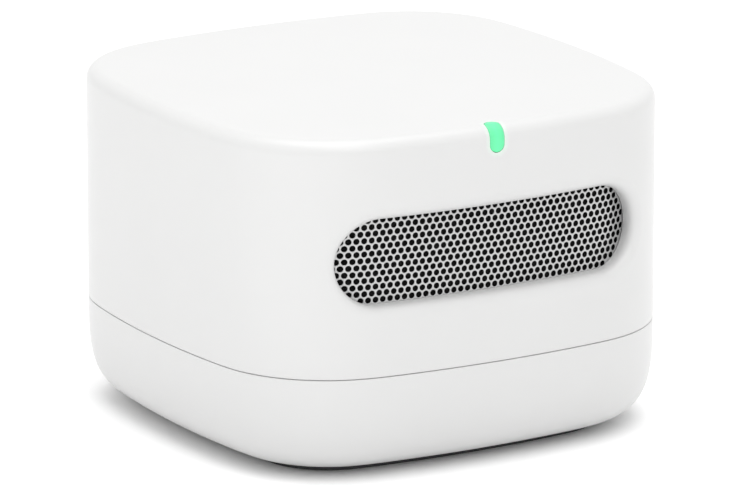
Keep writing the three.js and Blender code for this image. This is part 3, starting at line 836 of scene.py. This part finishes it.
def base_curve():
    """Profile of the curve under the hub, from its flat bottom up to the wall."""
    power = 2 / BASE_CURVE_POWER
    angles = np.linspace(0, 1, 3000) ** 2.5 * math.pi / 2
    inset = BASE_CURVE_IN * (1 - np.sin(angles) ** power)
    z = BASE_CURVE_TOP - (BASE_CURVE_TOP - BASE_BOTTOM) * np.cos(angles) ** power
    return np.c_[inset, z]


def base_shell():
    """The base cover's floor, curved wall and lip, open at the top."""
    top = SEAM - SEAM_GAP / 2
    edge_z = top - EDGE_ROUND
    foot = FOOT_INSET - FOOT_GAP
    nick, clear, lip_bevel = 0.05, 0.06, 0.15
    curve = base_curve()
    curve = curve[(curve[:, 0] < foot) & (curve[:, 1] < edge_z)]
    recess = [(inset, FOOT_RECESS) for inset in (31, 28, 24, 20, 16, 12, foot)]
    mouth = [(foot, curve[0][1] + nick), (foot - nick, curve[0][1])]
    edge = arc_profile(EDGE_ROUND, edge_z, EDGE_ROUND, 0, 90, 3)
    lip = [(LIP_INSET, top), (LIP_INSET, LIP_TOP - lip_bevel), (LIP_INSET + lip_bevel, LIP_TOP)]

    fine = recess + [(foot, z) for z in np.linspace(FOOT_RECESS, mouth[0][1], 8)[1:]]
    fine += mouth[1:] + curve[curve[:, 0] < foot - clear].tolist() + edge + lip

    marks = np.concatenate([[0], np.cumsum(np.linalg.norm(np.diff(curve, axis=0), axis=1))])

    def along_curve(lengths):
        return np.c_[np.interp(lengths, marks, curve[:, 0]), np.interp(lengths, marks, curve[:, 1])]

    stops = np.linspace(0.3, marks[-1], 26)
    reach = 0.02
    on_curve = along_curve(stops)
    way = unit(along_curve(stops + reach) - along_curve(stops - reach))
    offset = on_curve + np.c_[way[:, 1], -way[:, 0]] * BASE_WALL
    offset[:, 1] = np.maximum(offset[:, 1], BASE_FLOOR)

    rows = recess + mouth + on_curve.tolist() + edge + lip
    inner = [(inset, BASE_FLOOR) for inset, _ in recess[:-1]]
    inner += [(foot + more, BASE_FLOOR) for more in (1.6, 1.2, 0.8)] + offset.tolist()
    lip_steps = len(edge) + len(lip)
    inner += [(LIP_INSET + LIP_WALL, z) for z in np.linspace(edge_z, LIP_TOP, lip_steps)]
    return Shell(fine, rows, inner, open_end=-1)


def pierce_port(shell):
    columns = (STATIONS // 2 - 9, STATIONS // 2 + 9)
    rows = shell.rows_about(PORT[2], 4.7)
    steps = cells(columns, rows)

    def outline(offset):
        half_u, half_v = (half + offset for half in PORT_HALF)
        opening = rounded_outline(half_u, half_v, PORT_CORNER + offset, *steps, arc_weight=2.0)
        return shell.on_side(opening, PORT[2], side=2)

    shell.pierce(columns, rows, outline, RIM_ROUND, PORT_DEPTH, forwards, spread=2, rim_steps=4)


def pierce_button(shell):
    middle = STATIONS // 2 + round(length_to_side(-BUTTON[0]) / COLUMN)
    columns = (middle - 5, middle + 5)
    rows = shell.rows_about(BUTTON[2], 3.9)
    steps = cells(columns, rows)

    def outline(offset):
        radius = BUTTON_RADIUS + BUTTON_CLEARANCE + offset
        circle = rounded_outline(radius, radius, radius, *steps) - (BUTTON[0], 0)
        return shell.on_side(circle, BUTTON[2], side=2)

    shell.pierce(columns, rows, outline, RIM_ROUND, BUTTON_DEPTH, forwards, spread=2, rim_steps=4)


def base_cover():
    """The white tub under the seam, with its screw posts."""
    shell = base_shell()
    pierce_port(shell)
    pierce_button(shell)
    mesh = shell.build()
    root = BASE_FLOOR - BOSS_SINK
    for number in range(1, 5):
        add_boss(mesh, f"base_screw_{number}", radius=3.0, bore=1.3, end=9.5, root=root, depth=6.4)
    for number in range(1, 3):
        add_boss(mesh, f"main_board_screw_{number}", radius=2.2, bore=1.2, end=4.9, root=root, depth=2.3)
    stand_for(mesh.make("cover_base", WHITE), "housing_white", "base_cover")


def rubber_foot():
    """A pad with a raised rim round its underside."""
    edge, rim, lift, bevel = 0.2, 1.6, 0.12, 0.1
    inmost, inner = HALF - 1, 20
    profile = [(inmost, lift), (inner, lift), (FOOT_INSET + rim + lift, lift), (FOOT_INSET + rim, 0)]
    profile += [(FOOT_INSET + edge + edge, 0)]
    profile += arc_profile(FOOT_INSET + edge, edge, edge, -90, 0, 4)
    profile += [(FOOT_INSET, FOOT_TOP - bevel), (FOOT_INSET + bevel, FOOT_TOP)]
    profile += [(inner, FOOT_TOP), (inmost, FOOT_TOP)]
    mesh = Mesh().loft([ring_at(ALL_ROUND, inset, z) for inset, z in profile])
    stand_for(mesh.make("foot_pad", RUBBER), "rubber_dark", "rubber_foot")


# -------- air inlet and outlet

def reach_in_pill(place, half_u, half_v):
    """How far a (right, up) place lies from the middle line of a level pill."""
    return math.hypot(max(0, abs(place[0]) - (half_u - half_v)), place[1])


def cell_places():
    """Middles of the sheet's cells in (right, up), each with whether it has a hole."""
    row_step = HOLE_PITCH * math.sqrt(3) / 2
    most_rows, most_columns = 9, 25
    places = []
    for row in range(-most_rows, most_rows + 1):
        for column in range(-most_columns, most_columns + 1):
            centre = np.array([column + row % 2 / 2, row]) * (HOLE_PITCH, row_step) + HOLE_SHIFT
            if reach_in_pill(centre, *GRILLE_HALF) <= GRILLE_HALF[1] - HOLE_PITCH / 2:
                has_hole = reach_in_pill(centre - WINDOW_SHIFT, *HOLES_HALF) <= HOLES_HALF[1]
                places.append((centre, has_hole))
    return places


def cell_ring(mesh, corners, depth, known):
    """Indices of a cell's corners at a depth, shared with the cells beside it."""
    points = on_wall(corners, WINDOW_Z, GRILLE_INSET + depth)
    ring = []
    for point, corner in zip(points, corners):
        key = (*np.round(corner, 3), depth)
        if key not in known:
            known[key] = mesh.add([point])[0]
        ring.append(known[key])
    return ring


def perforated_grille():
    """A thin sheet of six-sided cells that follows the wall, with a round hole in each cell
    that shows in the window."""
    mesh = Mesh()
    corners = 12
    angles = np.radians(np.arange(corners) * 30)
    circle = np.c_[np.cos(angles), np.sin(angles)]
    away = np.where(np.arange(corners) % 2, HOLE_PITCH / math.sqrt(3), HOLE_PITCH / 2)
    cell = np.c_[away * np.cos(angles), away * np.sin(angles)]
    bore = [(HOLE_RADIUS + HOLE_EDGE, 0), (HOLE_RADIUS, HOLE_EDGE), (HOLE_RADIUS, GRILLE_THICK)]
    known = {}
    open_sides = {}
    for centre, has_hole in cell_places():
        front = cell_ring(mesh, cell + centre, 0, known)
        rings = [front]
        for radius, depth in bore if has_hole else []:
            rings.append(mesh.add(on_wall(circle * radius + centre, WINDOW_Z, GRILLE_INSET + depth)))
        back = cell_ring(mesh, cell + centre, GRILLE_THICK, known)
        rings.append(back)
        if has_hole:
            for first, second in zip(rings, rings[1:]):
                mesh.bridge(first, second)
        else:
            mesh.cap(front)
            mesh.cap(back, flip=True)
        for k in range(corners):
            n = (k + 1) % corners
            if open_sides.pop((front[n], front[k]), None) is None:
                open_sides[front[k], front[n]] = (back[n], back[k])
    for (a, b), (c, d) in open_sides.items():
        mesh.faces.append((b, a, d, c))
    stand_for(mesh.make("grille_front", COATED, sharp=50), "grille_white", "front_grille")


def wall_pad(name, made, half, radius, z, inset, thick, back, slot, node):
    """A thin closed pad that follows the front or back wall."""
    outline = rounded_outline(*half, radius, *PAD_STEPS)
    trim = [size - PAD_EDGE for size in half]
    shrunk = rounded_outline(*trim, max(radius - PAD_EDGE, 0.1), *PAD_STEPS)
    shares = (0.2, 0.4, 0.6, 0.8, 1)
    rings = [(shrunk * share, 0) for share in shares]
    rings += [(outline, PAD_EDGE), (outline, thick - PAD_EDGE)]
    rings += [(shrunk * share, thick) for share in shares[::-1]]
    mesh = Mesh().loft([on_wall(flat, z, inset + depth, back) for flat, depth in rings][::-1])
    stand_for(mesh.make(name, made), slot, node)


def inlet_gasket():
    """A foam frame between the filter and the particle sensor."""
    face = FILTER_INSET + FILTER_THICK + CAD_GAP
    rear = box_mm("inlet_gasket")[1][1]
    steps = (40, 16)
    rings = []
    for half, sign in ((GASKET_HALF, 1), (GASKET_BORE, -1)):
        wide = rounded_outline(*half, half[1], *steps)
        trim = [size - sign * PAD_EDGE for size in half]
        narrow = rounded_outline(*trim, trim[1], *steps)
        pair = [on_wall(narrow, WINDOW_Z, face), on_wall(wide, WINDOW_Z, face + PAD_EDGE)]
        for flat, y in ((wide, rear - PAD_EDGE), (narrow, rear)):
            pair.append(np.c_[flat[:, 0], np.full(len(flat), y), WINDOW_Z + flat[:, 1]])
        rings += pair if sign < 0 else pair[::-1]
    mesh = Mesh()
    mesh.join(rings, closed=True)
    stand_for(mesh.make("gasket_inlet", FOAM), "foam_black", "inlet_gasket")


# -------- button, socket and cables

def push_button():
    """The cap, with a shallow dish for a fingertip, and the flange that keeps it in."""
    low, high = box_mm("button_cap")
    flange, base, face = (high[0] - low[0]) / 2, low[1], high[1]
    edge, dish, brim, bevel = 0.3, 0.18, 0.15, 0.1
    thick, side = 0.6, 0.5
    profile = [(0, base), (flange - bevel, base), (flange, base + bevel), (flange, base + side)]
    profile += [(flange - bevel, base + thick), (BUTTON_RADIUS, base + thick)]
    for angle in np.radians(np.linspace(0, 90, 6)):
        radius = BUTTON_RADIUS - edge * (1 - math.cos(angle))
        profile.append((radius, face - edge * (1 - math.sin(angle))))
    reach = BUTTON_RADIUS - edge - brim
    for share in np.linspace(1, 0, 8):
        profile.append((reach * share, face - dish * (1 - share ** 2)))
    mesh = turned(Mesh(), profile, facing_back(BUTTON[0], BUTTON[2]))
    stand_for(mesh.make("push_button", WHITE, BUTTON_BODY), "housing_white", "button_cap")


def socket_outline(grow):
    """Outline of a micro-USB shell in (right, up), seen from the back, grown by an offset."""
    half_top, half_low, top, shoulder, low = 3.62, 2.6, 1.25, -0.25, -1.25
    radius = 0.45
    corners = np.array([(half_top, top), (-half_top, top), (-half_top, shoulder), (-half_low, low),
                        (half_low, low), (half_top, shoulder)])
    points = []
    for before, corner, after in zip(np.roll(corners, 1, 0), corners, np.roll(corners, -1, 0)):
        to_before, to_after = unit(before - corner), unit(after - corner)
        turn = math.acos(np.clip(to_before @ to_after, -1, 1))
        inner = corner + unit(to_before + to_after) * radius / math.sin(turn / 2)
        start = corner + to_before * radius / math.tan(turn / 2) - inner
        stop = corner + to_after * radius / math.tan(turn / 2) - inner
        for share in np.linspace(0, 1, 5):
            points.append(inner + unit(start * (1 - share) + stop * share) * (radius + grow))
    return np.array(points)


def at_port(flat, y):
    """Points of a (right, up) outline round the middle of the socket, seen from the back."""
    return np.c_[-flat[:, 0], np.full(len(flat), y), PORT[2] + flat[:, 1]]


def usb_socket():
    """The plated shell with a flared mouth, its tongue and five contacts."""
    low, high = box_mm("usb_socket")
    mouth, rear = high[1], low[1]
    sheet, inside = 0.25, 4.2
    flare = [(0, rear), (0, mouth - 0.5), (0.12, mouth - 0.1), (0.08, mouth), (-sheet + 0.14, mouth),
             (-sheet, mouth - 0.4), (-sheet, mouth - inside)]
    shell = Mesh().loft([at_port(socket_outline(grow), y) for grow, y in flare])
    stand_for(shell.make("usb_shell", STEEL), "steel", "usb_socket")

    tongue = Mesh()
    half, top, bottom = 1.9, 0.5, -0.05
    half_thick, level = (top - bottom) / 2, (0, (top + bottom) / 2)
    steps = (10, 4)
    flat = rounded_outline(half, half_thick, 0.12, *steps) + level
    tip = rounded_outline(half - 0.15, half_thick - 0.12, 0.1, *steps) + level
    tongue.loft([at_port(flat, mouth - 4.3), at_port(flat, mouth - 1.1), at_port(tip, mouth - 0.9)])
    stand_for(tongue.make("usb_tongue", BLACK), "plastic_black")

    contacts = Mesh()
    pitch, stand_out = 0.65, 0.03
    for number in range(-2, 3):
        pin = rounded_outline(0.16, 0.05, 0.03, 4, 4) + (number * pitch, bottom - stand_out)
        contacts.loft([at_port(pin, mouth - inside), at_port(pin, mouth - 1.3)])
    stand_for(contacts.make("usb_contacts", BRASS), "brass")


def rounded_route(route, radius, steps=6):
    """Points and sideways directions along a route in (y, z) with rounded corners."""
    route = [np.array(place, float) for place in route]
    points = [route[0]]
    for before, corner, after in zip(route, route[1:], route[2:]):
        come, leave = unit(corner - before), unit(after - corner)
        centre = corner - come * radius + leave * radius
        for angle in np.linspace(0, math.pi / 2, steps + 1):
            points.append(centre - leave * radius * math.cos(angle) + come * radius * math.sin(angle))
    points.append(route[-1])
    points = np.array(points)
    run = unit(np.gradient(points, axis=0))
    return points, np.c_[run[:, 1], -run[:, 0]]


def flat_cable(name, node, route, thickness, wires):
    """A flat cable with a ridge for each of its wires, bent between its two connectors."""
    low, high = box_mm(node)
    web, ridge = 0.55, 0.45         # shares of the thickness
    x = np.linspace(low[0], high[0], wires * 8 + 1)
    phase = (x - low[0]) / (high[0] - low[0]) * wires * math.pi
    half = thickness / 2 * (web + ridge * np.abs(np.sin(phase)))
    points, sideways = rounded_route(route, CABLE_BEND)
    rings = []
    for (y, z), (ny, nz) in zip(points, sideways):
        top = np.c_[x, y + ny * half, z + nz * half]
        bottom = np.c_[x, y - ny * half, z - nz * half][::-1]
        rings.append(np.concatenate([top, bottom]))
    stand_for(Mesh().loft(rings).make(name, CABLE, sharp=60), "cable_white", node)


# -------- camera, light and floor

AZIMUTH, ELEVATION = math.radians(-30.43), math.radians(15.02)
DISTANCE = 0.9544
LENS = 354.1
SHIFT = (0.00017, -0.00038)     # from the hub's middle to the middle of the view, right and up
LAMP_HEIGHT = 1.2


def aim(thing, position, towards):
    """Adds a camera or light to the scene, pointed at a place."""
    thing.location = position
    thing.rotation_mode = "QUATERNION"
    thing.rotation_quaternion = (Vector(position) - Vector(towards)).to_track_quat("Z", "Y")
    bpy.context.scene.collection.objects.link(thing)


def place_camera():
    level = math.cos(ELEVATION)
    back = Vector((math.sin(AZIMUTH) * level, -math.cos(AZIMUTH) * level, math.sin(ELEVATION)))
    right = Vector((math.cos(AZIMUTH), math.sin(AZIMUTH), 0))
    target = Vector((0, 0, HEIGHT * MM / 2)) + right * SHIFT[0] + back.cross(right) * SHIFT[1]
    data = bpy.data.cameras.new("camera")
    data.lens = LENS
    data.sensor_width = 36
    data.clip_start = 0.01
    data.clip_end = 20
    camera = bpy.data.objects.new("camera", data)
    aim(camera, target + back * DISTANCE, target)
    bpy.context.scene.camera = camera


def soft_light(name, position, size, power):
    """A round area light, pointed at the middle of the hub."""
    data = bpy.data.lights.new(name, "AREA")
    data.shape = "DISK"
    data.size = size
    data.energy = power
    aim(bpy.data.objects.new(name, data), position, (0, 0, HEIGHT * MM / 2))


def floor_wash(name, x, y, power):
    """A spot straight down on the floor beside the hub, to be mirrored softly in its walls."""
    data = bpy.data.lights.new(name, "SPOT")
    data.energy = power
    data.spot_size = 0.4
    data.spot_blend = 0.6
    data.shadow_soft_size = 0.05
    aim(bpy.data.objects.new(name, data), (x, y, LAMP_HEIGHT), (x, y, 0))


def studio():
    """An even white room with its lights."""
    world = bpy.data.worlds.new("studio")
    world.use_nodes = True
    sky = world.node_tree.nodes["Background"]
    sky.inputs["Color"].default_value = (1, 1, 1, 1)
    sky.inputs["Strength"].default_value = 0.98
    bpy.context.scene.world = world
    soft_light("overhead", (0, 0, LAMP_HEIGHT), size=1.2, power=7.5)
    soft_light("front_top", (-0.1, -0.75, 0.95), size=0.8, power=2.2)
    floor_wash("wash_left", -0.27, -0.12, power=41)
    bpy.context.scene.view_settings.view_transform = "Standard"


def pale_floor():
    """The white floor, which is staging and no part of the hub."""
    made = material("floor", (0.94, 0.94, 0.94), 0.9, grain=2.0, grain_depth=0.0, tone=0.01, cloud=60.0)
    reach = 6.0
    data = bpy.data.meshes.new("floor")
    corners = [(-reach, -reach, 0), (reach, -reach, 0), (reach, reach, 0), (-reach, reach, 0)]
    data.from_pydata(corners, [], [(0, 1, 2, 3)])
    data.materials.append(made)
    floor = bpy.data.objects.new("floor", data)
    bpy.context.scene.collection.objects.link(floor)


# -------- the hub

place_camera()
studio()
pale_floor()

status_light(upper_housing())
base_cover()
rubber_foot()
perforated_grille()
wall_pad("filter_inlet", FOAM, FILTER_HALF, FILTER_HALF[1], WINDOW_Z, FILTER_INSET, FILTER_THICK,
         back=False, slot="foam_black", node="inlet_filter")
inlet_gasket()
wall_pad("screen_exhaust", DUST_MESH, SCREEN_HALF, SCREEN_CORNER, VENT_Z, SCREEN_INSET, SCREEN_THICK,
         back=True, slot="foam_black", node="exhaust_screen")
push_button()
usb_socket()
flat_cable("ribbon_sensor", "sensor_ribbon", RIBBON_ROUTE, thickness=0.4, wires=10)
flat_cable("cable_sensor", "sensor_cable", CABLE_ROUTE, thickness=0.8, wires=5)

SLOT_MATERIALS = {
    "housing_white": WHITE, "grille_white": COATED, "rubber_dark": RUBBER, "foam_black": FOAM,
    "light_pipe": LIT, "plastic_black": BLACK, "board_green": BOARD, "steel": STEEL, "brass": BRASS,
    "chip_black": CHIP, "connector_cream": CREAM, "cable_white": CABLE,
}
for row in frame["record"]["subparts"]:
    node = frame["nodes"][row["node"]]
    node.data.materials.clear()
    node.data.materials.append(SLOT_MATERIALS[row["material_slot"]])
